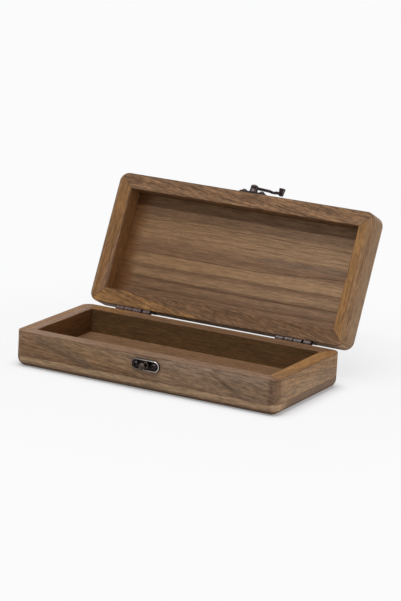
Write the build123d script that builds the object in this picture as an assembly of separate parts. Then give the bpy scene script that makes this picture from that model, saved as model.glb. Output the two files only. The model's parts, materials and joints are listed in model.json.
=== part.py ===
from build123d import *
from math import asin, cos, hypot, sin
import os

# Wooden pencil box with a hinged lid and a swinging hook latch, standing open.
# Millimetres. +X runs to the right along the front, +Y to the back, +Z up.
# The origin is the middle of the tray's underside.
# The lid and its fittings are drawn closed, then turned open about the hinge pins.

# Boards
box_length = 205.0
box_depth = 97.0
tray_height = 25.5
lid_height = 19.5
rail_thickness = 11.0
lid_panel_thickness = 5.0
tray_base_thickness = 8.2
corner_radius = 7.0
tray_edge_radius = 6.5
lid_edge_radius = 4.5
seam_gap = 0.3
lid_open_angle = 114.6

# Hinges
hinge_inset = 38.0
hinge_length = 28.0
hinge_leaf_height = 11.0
hinge_leaf_thickness = 0.8
hinge_leaf_corner_radius = 1.5
hinge_barrel_radius = 2.0
hinge_pin_radius = 0.7
hinge_pin_head_radius = 1.1
hinge_pin_head_height = 0.5
hinge_knuckles = 4
knuckle_gap = 0.2
notch_gap = 0.25
stop_dog_length = 1.2
stop_dog_start = 190.0
stop_dog_angle = 110.0
stop_dog_gap_angle = 1.0
hinge_screw_spacing = 17.0
hinge_screw_drop = 7.0

# Latch on the lid's front, catch on the tray's front
latch_offset = 1.8
catch_offset = 2.6
latch_height = 7.0
catch_drop = 6.5
plate_length = 21.8
plate_width = 8.0
plate_floor = 1.0
plate_rim_height = 1.7
plate_rim_width = 0.8
plate_rim_bevel = 0.4
plate_screw_spacing = 14.0

# Hook, its rivet and the stud that it swings behind
hook_standoff = 4.1
hook_thickness = 1.9
hook_bar_width = 2.2
hook_eye_radius = 2.7
hook_bow_width = 1.2
hook_length = 19.9
hook_rest_angle = 18.0
hook_mouth_clearance = 0.3
knob_radius = 2.4
knob_foot_radius = 1.6
knob_height = 5.5
knob_foot_reach = 0.7
knob_edge_round = 0.4
rivet_journal_radius = 1.5
rivet_boss_foot_radius = 3.1
rivet_boss_top_radius = 2.8
rivet_head_radius = 2.7
rivet_head_side = 0.3
rivet_head_rise = 1.1
stud_foot_radius = 2.4
stud_foot_height = 0.5
stud_neck_radius = 1.4
stud_head_radius = 2.3
stud_head_side = 0.5
stud_head_rise = 0.8
tail_radius = 1.2
tail_length = 4.0

# Screws
screw_length = 8.0
screw_shank_radius = 1.0
screw_tip_length = 1.8
flat_head_radius = 2.0
flat_head_depth = 1.0
flat_head_crown = 0.3
round_head_radius = 2.5
round_head_height = 2.4
recess_width = 0.6
recess_length = 2.6
recess_depth = 0.8

# Clearances
seat_clearance = 0.05
running_clearance = 0.05
end_clearance = 0.1
pilot_depth_clearance = 0.3
# How far a cutting tool reaches past the surface that it cuts
cut_margin = 2.0

# Places that follow from the sizes above
half_length = box_length / 2
half_depth = box_depth / 2
hinge_offset = half_length - hinge_inset
lid_base = tray_height + seam_gap
hinge_y = half_depth + hinge_barrel_radius + seat_clearance
hinge_z = tray_height + seam_gap / 2
hinge_axis = Axis((0, hinge_y, hinge_z), (1, 0, 0))
knuckle_pitch = hinge_length / hinge_knuckles
stud_distance = hypot(latch_height + seam_gap + catch_drop, catch_offset - latch_offset)
tray_front_plane = Plane(
    origin=(catch_offset, -half_depth, tray_height - catch_drop),
    x_dir=(1, 0, 0),
    z_dir=(0, -1, 0),
)
lid_front_plane = Plane(
    origin=(latch_offset, -half_depth, lid_base + latch_height),
    x_dir=(1, 0, 0),
    z_dir=(0, -1, 0),
)


def open_lid(shape):
    """Turn a piece of the closed lid back about the hinge pins."""
    return shape.rotate(hinge_axis, -lid_open_angle)


# Boards


def tray_block():
    """Outer form of the whole tray, its lower edges rounded."""
    block = Pos(0, 0, tray_height / 2) * Box(box_length, box_depth, tray_height)
    block = fillet(block.edges().filter_by(Axis.Z), corner_radius)
    return fillet(block.faces().sort_by(Axis.Z)[0].edges(), tray_edge_radius)


def lid_block():
    """Outer form of the whole lid, closed, its upper edges rounded."""
    block = Pos(0, 0, lid_base + lid_height / 2) * Box(box_length, box_depth, lid_height)
    block = fillet(block.edges().filter_by(Axis.Z), corner_radius)
    return fillet(block.faces().sort_by(Axis.Z)[-1].edges(), lid_edge_radius)


def rail_areas():
    """Plan outline of each rail, cut at 45 degrees from the outer corner inwards."""
    out_x = half_length + cut_margin
    out_y = half_depth + cut_margin
    in_x = half_length - rail_thickness
    in_y = half_depth - rail_thickness
    outer = [(-out_x, -out_y), (out_x, -out_y), (out_x, out_y), (-out_x, out_y)]
    inner = [(-in_x, -in_y), (in_x, -in_y), (in_x, in_y), (-in_x, in_y)]
    areas = {}
    for index, side in enumerate(("front_rail", "right_end", "back_rail", "left_end")):
        follower = (index + 1) % len(outer)
        corners = [outer[index], outer[follower], inner[follower], inner[index]]
        areas[side] = make_face(Polyline(*corners, close=True))
    return areas


def cut_rails(block, low, high):
    """The four rails of a block between two heights."""
    rails = {}
    for side, area in rail_areas().items():
        rails[side] = block & extrude(Pos(0, 0, low) * area, amount=high - low)
    return rails


def cut_panel(block, low, high):
    """The panel of a block between two heights."""
    slab = Box(box_length + cut_margin, box_depth + cut_margin, high - low)
    return block & (Pos(0, 0, (low + high) / 2) * slab)


# Screws, drawn with the head's seat at the origin and the tip towards -Z


def turned(profile_edges):
    """A solid of revolution about Z from a closed outline in the XZ plane."""
    return revolve(make_face(profile_edges), Axis.Z)


def cap_arc(rim_radius, rim_z, rise):
    """Half the outline of a domed cap, from its rim to its top on the axis."""
    sphere_radius = (rim_radius**2 + rise**2) / (2 * rise)
    centre_z = rim_z + rise - sphere_radius
    half_angle = asin(rim_radius / sphere_radius) / 2
    middle = (sphere_radius * sin(half_angle), 0, centre_z + sphere_radius * cos(half_angle))
    return ThreePointArc((rim_radius, 0, rim_z), middle, (0, 0, rim_z + rise))


def cross_recess(top):
    """Crossed slots that a screwdriver enters, cut down from a given height."""
    slot = Box(recess_length, recess_width, 2 * recess_depth)
    return Pos(0, 0, top) * (slot + Rot(0, 0, 90) * slot)


def shank_points():
    """Outline of half a screw below its head, from the axis outwards and up."""
    return [(0, -screw_length), (screw_shank_radius, screw_tip_length - screw_length)]


def flat_screw():
    """Countersunk wood screw with a slightly crowned head."""
    tip, shoulder = shank_points()
    lower = Polyline(
        (0, 0, flat_head_crown),
        (0, 0, tip[1]),
        (shoulder[0], 0, shoulder[1]),
        (screw_shank_radius, 0, -flat_head_depth),
        (flat_head_radius, 0, 0),
    )
    crown = cap_arc(flat_head_radius, 0, flat_head_crown)
    return turned(lower + crown) - cross_recess(flat_head_crown)


def flat_screw_hole():
    """Countersink and pilot hole for a flat screw."""
    wide = flat_head_radius + seat_clearance
    narrow = screw_shank_radius + seat_clearance
    outline = Polyline(
        (0, 0, cut_margin),
        (0, 0, -screw_length - pilot_depth_clearance),
        (narrow, 0, -screw_length - pilot_depth_clearance),
        (narrow, 0, -flat_head_depth),
        (wide, 0, 0),
        (wide, 0, cut_margin),
        close=True,
    )
    return turned(outline)


def round_screw():
    """Wood screw with a domed head that stands on the plate."""
    tip, shoulder = shank_points()
    lower = Polyline(
        (0, 0, round_head_height),
        (0, 0, tip[1]),
        (shoulder[0], 0, shoulder[1]),
        (screw_shank_radius, 0, 0),
        (round_head_radius, 0, 0),
    )
    dome = cap_arc(round_head_radius, 0, round_head_height)
    return turned(lower + dome) - cross_recess(round_head_height)


def straight_hole(radius, depth):
    """Round hole down from the surface."""
    height = depth + cut_margin
    return Pos(0, 0, cut_margin - height / 2) * Cylinder(radius, height)


# Hinges, drawn closed, with x counted from the hinge's middle


def barrel_run(start, end, radius):
    """Round bar on the pin's axis between two x places."""
    plane = Plane(origin=(start, hinge_y, hinge_z), x_dir=(0, 1, 0), z_dir=(1, 0, 0))
    return extrude(plane * Circle(radius), amount=end - start)


def barrel_sector(start, end, first_angle):
    """Slice of the barrel, its angle counted from +Y towards +Z."""
    plane = Plane(origin=(start, hinge_y, hinge_z), x_dir=(0, 1, 0), z_dir=(1, 0, 0))
    arc = CenterArc((0, 0), hinge_barrel_radius, first_angle, stop_dog_angle)
    slice_face = make_face(arc + Line(arc @ 1, (0, 0)) + Line((0, 0), arc @ 0))
    return extrude(plane * slice_face, amount=end - start)


def knuckle_spans(odd):
    """The x places where the odd or the even knuckles start and end."""
    spans = []
    for index in range(hinge_knuckles):
        if (index % 2 == 0) == odd:
            start = index * knuckle_pitch - hinge_length / 2
            spans.append((start + knuckle_gap / 2, start + knuckle_pitch - knuckle_gap / 2))
    return spans


def stop_zone():
    """The x places between which the two stop dogs lie, at the middle knuckle's right end."""
    start = (hinge_knuckles // 2 + 1) * knuckle_pitch - hinge_length / 2 + knuckle_gap / 2
    return start, start + stop_dog_length


def hinge_leaf(on_tray):
    """One leaf with its knuckles and its stop dog. The tray's leaf has the odd knuckles."""
    side = -1 if on_tray else 1
    near = hinge_barrel_radius + notch_gap
    height = hinge_leaf_height - near
    middle = hinge_z + side * (near + height / 2)
    thick_middle = half_depth + hinge_leaf_thickness / 2
    flag = Pos(0, thick_middle, middle) * Box(hinge_length, hinge_leaf_thickness, height)
    far_z = hinge_z + side * hinge_leaf_height
    far_edges = flag.edges().filter_by(Axis.Y).sort_by_distance((0, thick_middle, far_z))[:2]
    leaf = fillet(far_edges, hinge_leaf_corner_radius)
    zone_start, zone_end = stop_zone()
    for start, end in knuckle_spans(on_tray):
        if not on_tray and start < zone_end < end:
            start = zone_end + knuckle_gap
        root_height = near + hinge_leaf_corner_radius
        root_middle = hinge_z + side * root_height / 2
        root = Box(end - start, hinge_leaf_thickness, root_height)
        leaf += Pos((start + end) / 2, thick_middle, root_middle) * root
        leaf += barrel_run(start, end, hinge_barrel_radius)
    if on_tray:
        leaf += barrel_sector(zone_start - 2 * knuckle_gap, zone_end, stop_dog_start)
    else:
        lid_dog_start = stop_dog_start + stop_dog_angle + stop_dog_gap_angle + lid_open_angle
        leaf += barrel_sector(zone_start + knuckle_gap, zone_end + 2 * knuckle_gap, lid_dog_start)
    pin_clearance = seat_clearance if on_tray else running_clearance
    leaf -= barrel_run(-hinge_length, hinge_length, hinge_pin_radius + pin_clearance)
    for place in hinge_screw_places(on_tray):
        leaf -= place * flat_screw_hole()
    return leaf


def hinge_screw_places(on_tray):
    """Where the screws' heads sit on a leaf's outer face."""
    drop = -hinge_screw_drop if on_tray else hinge_screw_drop
    places = []
    for x in (-hinge_screw_spacing / 2, hinge_screw_spacing / 2):
        seat = Plane(
            origin=(x, half_depth + hinge_leaf_thickness, hinge_z + drop),
            x_dir=(-1, 0, 0),
            z_dir=(0, 1, 0),
        )
        places.append(seat.location)
    return places


def hinge_screws(on_tray):
    """The screws of one leaf."""
    return [place * flat_screw() for place in hinge_screw_places(on_tray)]


def hinge_pin():
    """Pin through all the knuckles, with a small head past each end."""
    end = hinge_length / 2 - knuckle_gap / 2 + seat_clearance
    pin = barrel_run(-end, end, hinge_pin_radius)
    pin += barrel_run(-end - hinge_pin_head_height, -end, hinge_pin_head_radius)
    pin += barrel_run(end, end + hinge_pin_head_height, hinge_pin_head_radius)
    return pin


# Latch and catch, drawn with the wood's face at z = 0 and +Z away from it


def plate_screw_places():
    """Where the two round screws stand on a plate."""
    half = plate_screw_spacing / 2
    return [Pos(-half, 0, plate_floor), Pos(half, 0, plate_floor)]


def fitting_plate():
    """Plate with round ends, a raised bevelled rim, two screw holes and a middle hole."""
    plate = extrude(SlotOverall(plate_length, plate_width), amount=plate_rim_height)
    plate = chamfer(plate.faces().sort_by(Axis.Z)[-1].edges(), plate_rim_bevel)
    inner = SlotOverall(plate_length - 2 * plate_rim_width, plate_width - 2 * plate_rim_width)
    plate -= extrude(Pos(0, 0, plate_floor) * inner, amount=plate_rim_height)
    for place in plate_screw_places():
        plate -= place * straight_hole(screw_shank_radius + seat_clearance, screw_length)
    return plate - straight_hole(tail_radius + seat_clearance, tail_length)


def plate_pilot_holes():
    """Holes in the board behind a plate."""
    screw_hole = straight_hole(screw_shank_radius + seat_clearance, screw_length + pilot_depth_clearance)
    tail_hole = straight_hole(tail_radius + seat_clearance, tail_length + pilot_depth_clearance)
    return [place * screw_hole for place in plate_screw_places()] + [tail_hole]


def plate_screws():
    """The two screws of a plate."""
    return [place * round_screw() for place in plate_screw_places()]


def pivot_rivet():
    """Post on the latch plate: a flared boss, the hook's journal and a domed head."""
    boss_top = hook_standoff - end_clearance
    head_foot = hook_standoff + hook_thickness + end_clearance
    head_shoulder = head_foot + rivet_head_side
    top = head_shoulder + rivet_head_rise
    lower = Polyline(
        (0, 0, top),
        (0, 0, -tail_length),
        (tail_radius, 0, -tail_length),
        (tail_radius, 0, plate_floor),
        (rivet_boss_foot_radius, 0, plate_floor),
        (rivet_boss_top_radius, 0, boss_top),
        (rivet_journal_radius, 0, boss_top),
        (rivet_journal_radius, 0, head_foot),
        (rivet_head_radius, 0, head_foot),
        (rivet_head_radius, 0, head_shoulder),
    )
    return turned(lower + cap_arc(rivet_head_radius, head_shoulder, rivet_head_rise))


def catch_stud():
    """Headed post on the catch plate. Its neck is as tall as the hook needs."""
    head_foot = hook_standoff + hook_thickness + hook_mouth_clearance
    head_shoulder = head_foot + stud_head_side
    top = head_shoulder + stud_head_rise
    lower = Polyline(
        (0, 0, top),
        (0, 0, -tail_length),
        (tail_radius, 0, -tail_length),
        (tail_radius, 0, plate_floor),
        (stud_foot_radius, 0, plate_floor),
        (stud_foot_radius, 0, plate_floor + stud_foot_height),
        (stud_neck_radius, 0, plate_floor + stud_foot_height),
        (stud_neck_radius, 0, head_foot),
        (stud_head_radius, 0, head_foot),
        (stud_head_radius, 0, head_shoulder),
    )
    return turned(lower + cap_arc(stud_head_radius, head_shoulder, stud_head_rise))


def hook_outline():
    """Plan of the hook: eye, arm, a bow whose mouth opens towards -Y, and the knob's seat."""
    mouth_radius = stud_neck_radius + hook_mouth_clearance
    bow_radius = mouth_radius + hook_bow_width
    arm = Pos(hook_length / 2, 0) * Rectangle(hook_length, hook_bar_width)
    ring = Pos(stud_distance, 0) * Circle(bow_radius)
    back_half = Pos(stud_distance, bow_radius / 2) * Rectangle(2 * bow_radius, bow_radius)
    outline = Circle(hook_eye_radius) + arm + (ring & back_half)
    outline += Pos(hook_length, 0) * Circle(hook_bar_width / 2)
    outline -= Pos(stud_distance, 0) * Circle(mouth_radius)
    outline -= Pos(stud_distance, -hook_bar_width / 2) * Rectangle(2 * mouth_radius, hook_bar_width)
    return outline - Circle(rivet_journal_radius + running_clearance)


def latch_hook():
    """Flat swinging hook with a tapered finger knob through its end."""
    bar = extrude(Pos(0, 0, hook_standoff) * hook_outline(), amount=hook_thickness)
    knob = Cone(knob_foot_radius, knob_radius, knob_height)
    knob = fillet(knob.edges().filter_by(GeomType.CIRCLE), knob_edge_round)
    hook = bar + Pos(hook_length, 0, hook_standoff - knob_foot_reach + knob_height / 2) * knob
    return hook.rotate(Axis.Z, hook_rest_angle)


# Assembly


def tray_nodes():
    """Boards and fittings that stand with the tray."""
    block = tray_block()
    rails = cut_rails(block, tray_base_thickness, tray_height)
    for hole in plate_pilot_holes():
        rails["front_rail"] -= tray_front_plane.location * hole
    for hinge_x in (-hinge_offset, hinge_offset):
        for place in hinge_screw_places(True):
            rails["back_rail"] -= Pos(hinge_x, 0, 0) * place * flat_screw_hole()
    nodes = {"tray_" + side: [rail] for side, rail in rails.items()}
    nodes["tray_bottom_panel"] = [cut_panel(block, 0, tray_base_thickness)]
    nodes["catch_plate"] = [tray_front_plane.location * fitting_plate()]
    nodes["catch_plate_screws"] = [tray_front_plane.location * screw for screw in plate_screws()]
    nodes["catch_stud"] = [tray_front_plane.location * catch_stud()]
    return nodes


def lid_nodes():
    """Boards and fittings that turn with the lid, closed."""
    block = lid_block()
    top = lid_base + lid_height
    rails = cut_rails(block, lid_base, top - lid_panel_thickness)
    for hole in plate_pilot_holes():
        rails["front_rail"] -= lid_front_plane.location * hole
    for hinge_x in (-hinge_offset, hinge_offset):
        for place in hinge_screw_places(False):
            rails["back_rail"] -= Pos(hinge_x, 0, 0) * place * flat_screw_hole()
    nodes = {"lid_" + side: [rail] for side, rail in rails.items()}
    nodes["lid_top_panel"] = [cut_panel(block, top - lid_panel_thickness, top)]
    nodes["latch_plate"] = [lid_front_plane.location * fitting_plate()]
    nodes["latch_plate_screws"] = [lid_front_plane.location * screw for screw in plate_screws()]
    nodes["latch_pivot_rivet"] = [lid_front_plane.location * pivot_rivet()]
    nodes["latch_hook"] = [lid_front_plane.location * latch_hook()]
    return nodes


def all_nodes():
    """Every node's solids, with the lid open."""
    nodes = tray_nodes()
    lid = lid_nodes()
    for name, hinge_x in (("left_hinge", -hinge_offset), ("right_hinge", hinge_offset)):
        shift = Pos(hinge_x, 0, 0)
        nodes[name + "_tray_leaf"] = [shift * hinge_leaf(True)]
        nodes[name + "_tray_screws"] = [shift * screw for screw in hinge_screws(True)]
        nodes[name + "_pin"] = [shift * hinge_pin()]
        lid[name + "_lid_leaf"] = [shift * hinge_leaf(False)]
        lid[name + "_lid_screws"] = [shift * screw for screw in hinge_screws(False)]
    for name, pieces in lid.items():
        nodes[name] = [open_lid(piece) for piece in pieces]
    return nodes


os.makedirs("parts", exist_ok=True)
for node_name, pieces in all_nodes().items():
    solids = [solid for piece in pieces for solid in piece.solids()]
    shape = solids[0] if len(solids) == 1 else Compound(children=solids)
    export_step(shape, os.path.join("parts", node_name + ".step"))
    print(node_name, len(solids), "solids", round(sum(solid.volume for solid in solids), 1), "mm3")
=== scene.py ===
# %% [markdown]
# # Dressing a walnut pencil box
# This lesson takes a small hinged box whose shapes are already worked out and gives it its looks:
# the boards with their eased edges and grain, the dark bronze fittings, the light and the camera.
# Each part starts with a few sentences on what the real piece is and why it is made this way.

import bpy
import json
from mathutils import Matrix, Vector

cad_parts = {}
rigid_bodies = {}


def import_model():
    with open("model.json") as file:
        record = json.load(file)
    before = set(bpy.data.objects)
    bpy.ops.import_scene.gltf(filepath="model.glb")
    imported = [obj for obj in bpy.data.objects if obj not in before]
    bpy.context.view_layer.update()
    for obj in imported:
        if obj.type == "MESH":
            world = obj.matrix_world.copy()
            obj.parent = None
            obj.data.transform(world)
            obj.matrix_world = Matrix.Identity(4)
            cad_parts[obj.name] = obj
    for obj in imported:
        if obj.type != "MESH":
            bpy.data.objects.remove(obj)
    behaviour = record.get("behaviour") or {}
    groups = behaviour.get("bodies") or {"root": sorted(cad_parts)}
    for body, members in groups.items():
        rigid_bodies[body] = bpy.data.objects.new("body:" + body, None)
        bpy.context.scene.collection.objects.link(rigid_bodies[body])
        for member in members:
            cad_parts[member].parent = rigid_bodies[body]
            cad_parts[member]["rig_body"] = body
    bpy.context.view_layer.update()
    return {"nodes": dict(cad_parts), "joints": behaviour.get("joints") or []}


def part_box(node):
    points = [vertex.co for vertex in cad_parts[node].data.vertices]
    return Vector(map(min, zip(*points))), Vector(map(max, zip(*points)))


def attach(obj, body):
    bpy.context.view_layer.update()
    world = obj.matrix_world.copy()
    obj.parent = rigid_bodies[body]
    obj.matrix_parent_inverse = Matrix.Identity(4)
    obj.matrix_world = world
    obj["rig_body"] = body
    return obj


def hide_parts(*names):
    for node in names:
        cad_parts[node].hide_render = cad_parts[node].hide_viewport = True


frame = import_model()

# %% Tools that the lesson uses
import json
import math

import bmesh
import bpy
from mathutils import Matrix, Vector

MM = 0.001
scene = bpy.context.scene

# %% [markdown]
# ## The camera
# The camera comes first, because every later choice is judged through it. A long lens far away keeps the
# box's edges nearly parallel. Its place is given as a turn round the box, a height above the table, a
# distance, and a small shift of the whole view, so each number can be read off a plan of the studio.

# %% Set up the camera
VIEW_AZIMUTH = math.radians(27.806)
VIEW_ELEVATION = math.radians(14.313)
VIEW_ROLL = math.radians(3.033)
VIEW_DISTANCE = 1973.605 * MM
VIEW_SIDEWAYS = 17.007 * MM
VIEW_UPWARDS = 52.249 * MM
FRAME_HEIGHT_PIXELS = 601
FOCAL_LENGTH_PIXELS = 2839.858
SENSOR_MM = 36.0
FARTHEST_SEEN = 20.0


def view_axes():
    """Right, up and back directions of the camera in the box's frame."""
    level = math.cos(VIEW_ELEVATION)
    sideways = math.sin(VIEW_AZIMUTH) * level
    forwards = math.cos(VIEW_AZIMUTH) * level
    back = Vector((sideways, -forwards, math.sin(VIEW_ELEVATION)))
    right = (-back).cross(Vector((0, 0, 1))).normalized()
    up = right.cross(-back)
    rolled_right = right * math.cos(VIEW_ROLL) + up * math.sin(VIEW_ROLL)
    rolled_up = up * math.cos(VIEW_ROLL) - right * math.sin(VIEW_ROLL)
    return rolled_right, rolled_up, back


def make_camera():
    """A camera with no shift and no depth of field, standing where the view axes say."""
    right, up, back = view_axes()
    data = bpy.data.cameras.new("studio_camera")
    data.sensor_width = SENSOR_MM
    data.lens = FOCAL_LENGTH_PIXELS / FRAME_HEIGHT_PIXELS * SENSOR_MM
    data.clip_end = FARTHEST_SEEN
    camera = bpy.data.objects.new("studio_camera", data)
    place = back * VIEW_DISTANCE + right * VIEW_SIDEWAYS + up * VIEW_UPWARDS
    camera.matrix_world = Matrix.Translation(place) @ Matrix((right, up, back)).transposed().to_4x4()
    scene.collection.objects.link(camera)
    return camera


scene.camera = make_camera()
scene.view_settings.view_transform = "Standard"
print("lens", round(scene.camera.data.lens, 1), "mm")

# %% [markdown]
# ## Measures taken from the box
# A tray and a lid are each four mitred rails round a panel. Their sizes are read from the loaded boards, so
# the dressed boards always fit. The lid's boards are drawn closed, flat over the tray, and turned open
# about the hinge pins at the end, because a flat board is easier to draw and to give a grain.
# For each of the two, a form says where its outer face lies, which way the heights count from there, how
# tall its rails are, how thick its panel is and how far its outer edge is rounded.

# %% Read the sizes of tray and lid
hinge = next(joint for joint in frame["joints"] if joint["name"] == "lid_hinge")
hinge_place = Vector(hinge["pos_m"])
open_angle = math.radians(hinge["range_deg"][1])
turn_open = Matrix.Rotation(-open_angle, 4, "X")
OPEN = Matrix.Translation(hinge_place) @ turn_open @ Matrix.Translation(-hinge_place)
CLOSE = OPEN.inverted()


def closed_box(node):
    """Lowest and highest corner of a lid node once the lid is turned shut."""
    corners = [CLOSE @ vertex.co for vertex in frame["nodes"][node].data.vertices]
    low = Vector(min(corner[axis] for corner in corners) for axis in range(3))
    high = Vector(max(corner[axis] for corner in corners) for axis in range(3))
    return low, high


CORNER_RADIUS = 7.0 * MM
floor_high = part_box("tray_bottom_panel")[1]
rail_low, rail_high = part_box("tray_front_rail")
half_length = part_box("tray_right_end")[1].x
half_depth = -rail_low.y
rail_width = rail_high.y - rail_low.y
TRAY = {
    "outer": 0.0,
    "away": 1,
    "height": rail_high.z,
    "panel": floor_high.z,
    "edge_radius": 6.5 * MM,
    "place": Matrix.Identity(4),
}
top_low, top_high = closed_box("lid_top_panel")
lid_rail_low = closed_box("lid_front_rail")[0]
LID = {
    "outer": top_high.z,
    "away": -1,
    "height": top_high.z - lid_rail_low.z,
    "panel": top_high.z - top_low.z,
    "edge_radius": 4.5 * MM,
    "place": OPEN,
}
print("half length", round(half_length / MM, 2), "half depth", round(half_depth / MM, 2))
print("rail width", round(rail_width / MM, 2), "mm")
print("tray height", round(TRAY["height"] / MM, 2), "lid height", round(LID["height"] / MM, 2))

# %% [markdown]
# ## The boards
# Each rail is a long bar with mitred ends. It could be a box with a bevel modifier, but the outer corner is
# rounded in plan and below, so the bar is drawn as a few lines that run from mitre to mitre, each at its own
# depth and height, with faces between neighbouring lines. Two small rounds ease the rim's edges, as
# sandpaper leaves them, and a fine groove marks where the rail meets its panel.
# Every corner point also stores its place on the board: along the grain, across it and through it. The
# grain is coloured from that place, so it keeps to its board when the lid turns.

# %% Shape values of the boards
EASE = 0.45 * MM
EASE_STEPS = 4
SEAM_GROOVE = 0.16 * MM
MITRE_GAP = 0.03 * MM
CORNER_STEPS = 10
FILLET_STEPS = 7
STRAIGHT_STEPS = 6
# How far the points of an inner line's corner are spread along its straight part
CORNER_SPREAD = 2.0 * MM


def fillet_inset(form, height):
    """How far the rounded outer edge has pulled in at a height above the outer face."""
    radius = form["edge_radius"]
    if height >= radius:
        return 0.0
    return radius - math.sqrt(radius**2 - (radius - height) ** 2)


def fillet_heights(form, low, high):
    """Heights between two levels at which the rounded outer edge is drawn."""
    radius = form["edge_radius"]
    heights = []
    for step in range(FILLET_STEPS + 1):
        height = radius * (1 - math.cos(math.pi / 2 * step / FILLET_STEPS))
        if low < height < high:
            heights.append(height)
    return heights


# %% Draw one line of a rail
def inner_line(offset):
    """Plan points at a distance out from the inner wall, from mitre to mitre."""
    reach = half_length - rail_width + offset - MITRE_GAP
    y = -(half_depth - rail_width + offset)
    starts = [reach - CORNER_SPREAD * step / CORNER_STEPS for step in range(CORNER_STEPS)]
    straight = reach - CORNER_SPREAD
    middles = [straight * (1 - 2 * step / STRAIGHT_STEPS) for step in range(STRAIGHT_STEPS + 1)]
    places = [-x for x in starts + middles] + starts[::-1]
    return [(x, y) for x in places]


def outer_line(inset):
    """Plan points at a distance in from the outer face, round both corners to the mitres."""
    radius = CORNER_RADIUS - inset
    centre_x = half_length - CORNER_RADIUS
    centre_y = -(half_depth - CORNER_RADIUS)
    corner = []
    for step in range(CORNER_STEPS):
        turn = math.pi / 4 * (1 - step / CORNER_STEPS)
        corner.append((centre_x + radius * math.sin(turn), centre_y - radius * math.cos(turn)))
    corner[0] = (corner[0][0] - MITRE_GAP, corner[0][1])
    middles = [centre_x * (1 - 2 * step / STRAIGHT_STEPS) for step in range(STRAIGHT_STEPS + 1)]
    left = [(-x, y) for x, y in corner]
    straight = [(-x, centre_y - radius) for x in middles]
    return left + straight + corner[::-1]


# %% Put the lines of a rail's section in order
def rail_lines(form):
    """Pairs of plan line and height, once round the section of a front rail."""
    rim = form["height"]
    seam = form["panel"]
    lines = [(inner_line(0), seam), (inner_line(0), rim - EASE)]
    for step in range(1, EASE_STEPS + 1):
        turn = math.pi / 2 * step / EASE_STEPS
        lines.append((inner_line(EASE * (1 - math.cos(turn))), rim - EASE * (1 - math.sin(turn))))
    for step in range(EASE_STEPS, 0, -1):
        turn = math.pi / 2 * step / EASE_STEPS
        lines.append((outer_line(EASE * (1 - math.cos(turn))), rim - EASE * (1 - math.sin(turn))))
    lines.append((outer_line(0), rim - EASE))
    heights = [form["edge_radius"]] + list(reversed(fillet_heights(form, seam, form["edge_radius"])))
    for height in heights:
        if seam + 2 * SEAM_GROOVE < height < rim - EASE:
            lines.append((outer_line(fillet_inset(form, height)), height))
    lines.append((outer_line(fillet_inset(form, seam + SEAM_GROOVE)), seam + SEAM_GROOVE))
    lines.append((outer_line(fillet_inset(form, seam) + SEAM_GROOVE), seam))
    return lines


print("a rail's section has", len(rail_lines(TRAY)), "lines of", len(inner_line(0)), "points")

# %% Turn a drawing into a board
SIDES = ("front_rail", "right_end", "back_rail", "left_end")
BOARD_CREASE = math.radians(50)
MOST_WEIGHT = 100


def plan_point(x, y, side):
    """A point drawn for the front rail, carried round to another side of the box."""
    if side == "front_rail":
        return x, y
    if side == "back_rail":
        return -x, -y
    swap = half_length - half_depth
    if side == "right_end":
        return -y + swap, x
    return y - swap, -x


def store_places(mesh, places):
    """Keep each vertex's place on its board, in millimetres, as an attribute of the mesh."""
    layer = mesh.attributes.new("board_place", "FLOAT_VECTOR", "POINT")
    layer.data.foreach_set("vector", [value / MM for place in places for value in place])


def stand(name, mesh, crease):
    """An object that shades smoothly up to its creases and keeps its large faces even."""
    mesh.shade_smooth()
    mesh.set_sharp_from_angle(angle=crease)
    piece = bpy.data.objects.new(name, mesh)
    scene.collection.objects.link(piece)
    even = piece.modifiers.new("even_faces", "WEIGHTED_NORMAL")
    even.keep_sharp = True
    even.weight = MOST_WEIGHT
    return piece


def make_board(name, points, places, faces, form):
    """A board from its drawing, set in its place on the tray or the open lid."""
    mesh = bpy.data.meshes.new(name)
    mesh.from_pydata(points, [], faces)
    store_places(mesh, places)
    mesh.transform(form["place"])
    repair = bmesh.new()
    repair.from_mesh(mesh)
    bmesh.ops.recalc_face_normals(repair, faces=repair.faces)
    repair.to_mesh(mesh)
    repair.free()
    return stand(name, mesh, BOARD_CREASE)


def make_rail(name, side, form):
    """One mitred rail of the tray or the lid."""
    ends = side.endswith("end")
    shorter = half_length - half_depth if ends else 0.0
    points, places, faces = [], [], []
    lines = rail_lines(form)
    count = len(lines[0][0])
    for plan, height in lines:
        for index, (x, y) in enumerate(plan):
            if ends:
                middle = (count - 1) / 2
                x -= shorter * max(-1.0, min(1.0, (index - middle) / (STRAIGHT_STEPS / 2)))
            across = -y - (half_depth - rail_width)
            places.append((x, across, height))
            px, py = plan_point(x, y, side)
            points.append((px, py, form["outer"] + form["away"] * height))
    for line in range(len(lines)):
        after = (line + 1) % len(lines)
        for index in range(count - 1):
            first = line * count + index
            second = after * count + index
            faces.append((first, first + 1, second + 1, second))
    faces.append([line * count for line in range(len(lines))])
    faces.append([line * count + count - 1 for line in reversed(range(len(lines)))])
    return make_board(name, points, places, faces, form)


# %% Draw a panel
def panel_ring(inset, corner_steps=2 * CORNER_STEPS):
    """Plan points of the box's rounded outline at a distance in from its face."""
    radius = CORNER_RADIUS - inset
    ring = []
    for quarter, (sx, sy) in enumerate(((1, 1), (-1, 1), (-1, -1), (1, -1))):
        for step in range(corner_steps + 1):
            turn = math.pi / 2 * (quarter + step / corner_steps)
            x = sx * (half_length - CORNER_RADIUS) + radius * math.cos(turn)
            y = sy * (half_depth - CORNER_RADIUS) + radius * math.sin(turn)
            ring.append((x, y))
    return ring


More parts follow.
